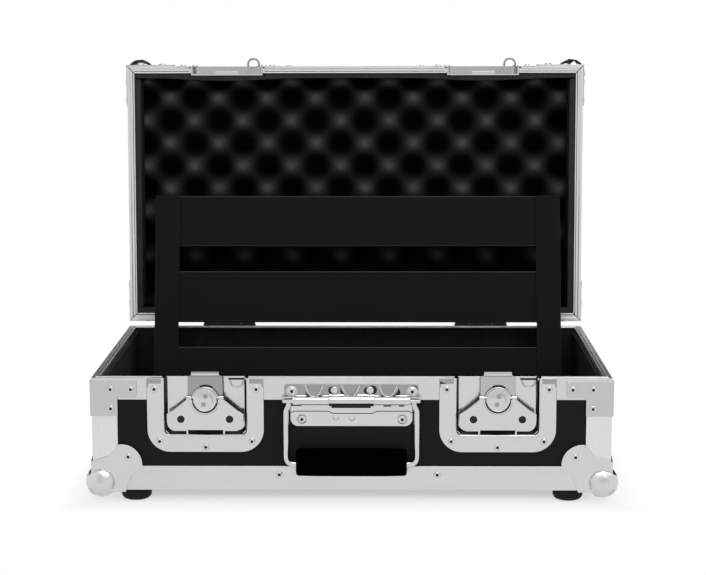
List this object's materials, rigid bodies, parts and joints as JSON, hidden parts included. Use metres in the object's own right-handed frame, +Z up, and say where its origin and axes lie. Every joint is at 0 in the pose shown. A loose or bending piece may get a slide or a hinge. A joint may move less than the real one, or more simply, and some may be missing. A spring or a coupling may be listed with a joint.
{
  "type": "guitar pedal case",
  "caption": "Black hard case for guitar pedals with aluminium edges, butterfly latches, foam-lined hinged lid and a slatted pedalboard.",
  "frame": {"origin": "on the floor under the middle of the open case's box, at the underside of the rubber feet", "axes": "+X to the right along the longest side, +Y to the back where the hinges are, +Z up; latches and handle face -Y"},
  "size_m": [0.4854, 0.3664, 0.3927],
  "materials": {
    "laminate": "black laminate with a fine pebbled texture",
    "aluminium": "satin, faintly drawn along its length",
    "plated_steel": "bright zinc-nickel plating",
    "rubber": "black moulded rubber",
    "foam": "dark open-cell foam",
    "grip": "smooth black handle grip",
    "black_metal": "black satin powder coat"
  },
  "bodies": {
    "base": {"base_back_panel": "laminate", "base_ball_corners": "plated_steel", "base_bottom_angles": "aluminium", "base_feet": "rubber", "base_floor_foam": "foam", "base_floor_panel": "laminate", "base_front_panel": "laminate", "base_hinge_leaf_left": "plated_steel", "base_hinge_leaf_right": "plated_steel", "base_left_panel": "laminate", "base_right_panel": "laminate", "base_rim_caps": "plated_steel", "base_rim_profiles": "aluminium", "base_upright_angles": "aluminium", "base_wall_lining": "foam", "handle_backplate": "plated_steel", "handle_hinge_cover": "plated_steel", "hinge_pins": "plated_steel", "latch_dish_left": "plated_steel", "latch_dish_right": "plated_steel"},
    "lid": {"keeper_dish_left": "plated_steel", "keeper_dish_right": "plated_steel", "lid_back_panel": "laminate", "lid_ball_corners": "plated_steel", "lid_edge_foam": "foam", "lid_egg_foam": "foam", "lid_front_panel": "laminate", "lid_hinge_leaf_left": "plated_steel", "lid_hinge_leaf_right": "plated_steel", "lid_left_panel": "laminate", "lid_padlock_loops": "plated_steel", "lid_right_panel": "laminate", "lid_rim_caps": "plated_steel", "lid_rim_profiles": "aluminium", "lid_top_angles": "aluminium", "lid_top_panel": "laminate", "lid_upright_angles": "aluminium"},
    "pedalboard": {"board_cross_bars": "black_metal", "board_feet": "rubber", "board_rail_lower": "black_metal", "board_rail_middle": "black_metal", "board_rail_top": "black_metal", "board_rear_bar": "black_metal", "board_side_left": "black_metal", "board_side_right": "black_metal"},
    "handle": {"handle_bail": "plated_steel", "handle_grip": "grip"},
    "cam_left": {"latch_cam_left": "plated_steel"},
    "wing_left": {"latch_wing_left": "plated_steel"},
    "hook_left": {"latch_hook_left": "plated_steel"},
    "cam_right": {"latch_cam_right": "plated_steel"},
    "wing_right": {"latch_wing_right": "plated_steel"},
    "hook_right": {"latch_hook_right": "plated_steel"}
  },
  "joints": [
    {"name": "lid_hinge", "type": "hinge", "parent": "base", "child": "lid", "pos_m": [0, 0.09775, 0.1162], "axis": [-1, 0, 0], "range_deg": [-93, 0]},
    {"name": "board_lift", "type": "slide", "parent": "base", "child": "pedalboard", "axis": [0, -0.766, 0.6428], "range_m": [0, 0.52]},
    {"name": "handle_swing", "type": "hinge", "parent": "base", "child": "handle", "pos_m": [0, -0.176, 0.096], "axis": [-1, 0, 0], "range_deg": [0, 90], "stiffness_Nm_per_rad": 0.15, "springref_deg": -11.46},
    {"name": "latch_twist_left", "type": "hinge", "parent": "base", "child": "cam_left", "pos_m": [-0.132, -0.171, 0.096], "axis": [0, -1, 0], "range_deg": [0, 180]},
    {"name": "wing_flip_left", "type": "hinge", "parent": "cam_left", "child": "wing_left", "pos_m": [-0.132, -0.1733, 0.0985], "axis": [-1, 0, 0], "range_deg": [0, 180]},
    {"name": "hook_slide_left", "type": "slide", "parent": "base", "child": "hook_left", "axis": [0, 0.7372, -0.6757], "range_m": [0, 0.0033]},
    {"name": "latch_twist_right", "type": "hinge", "parent": "base", "child": "cam_right", "pos_m": [0.132, -0.171, 0.096], "axis": [0, -1, 0], "range_deg": [0, 180]},
    {"name": "wing_flip_right", "type": "hinge", "parent": "cam_right", "child": "wing_right", "pos_m": [0.132, -0.1733, 0.0985], "axis": [-1, 0, 0], "range_deg": [0, 180]},
    {"name": "hook_slide_right", "type": "slide", "parent": "base", "child": "hook_right", "axis": [0, 0.7372, -0.6757], "range_m": [0, 0.0033]}
  ],
  "couplings": [
    {"joint": "board_lift", "follows": "lid_hinge", "m_per_rad": -0.32},
    {"joint": "hook_slide_left", "follows": "latch_twist_left", "m_per_rad": 0.00103},
    {"joint": "hook_slide_right", "follows": "latch_twist_right", "m_per_rad": 0.00103}
  ]
}
